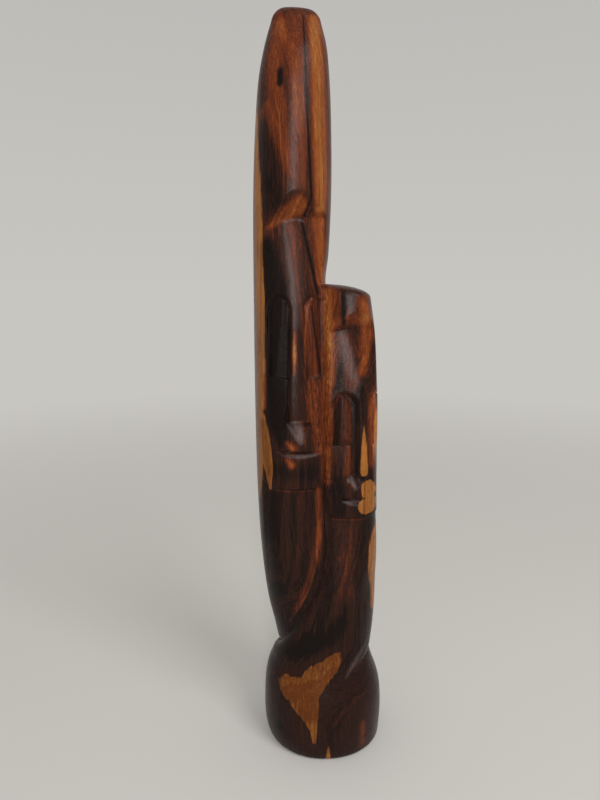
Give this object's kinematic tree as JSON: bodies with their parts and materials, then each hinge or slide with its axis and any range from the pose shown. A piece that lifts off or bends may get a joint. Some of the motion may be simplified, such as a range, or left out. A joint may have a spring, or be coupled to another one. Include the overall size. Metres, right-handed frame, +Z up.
{
  "type": "carved two-faced figurine",
  "caption": "Tall polished hardwood carving of two long mask-like faces side by side, whose bodies twist round each other into one round standing foot.",
  "frame": {"origin": "centre of the flat underside of the round foot", "axes": "+Z up along the carving, +X to the viewer's right from the tall figure towards the short one, -Y towards the viewer, the side the faces look to"},
  "size_m": [0.0698, 0.0618, 0.38],
  "materials": {
    "hardwood": "hand-carved and polished dense two-tone hardwood, dark red-brown heartwood with golden sapwood patches"
  },
  "bodies": {
    "root": {"carved_figure": "hardwood"}
  },
  "joints": []
}
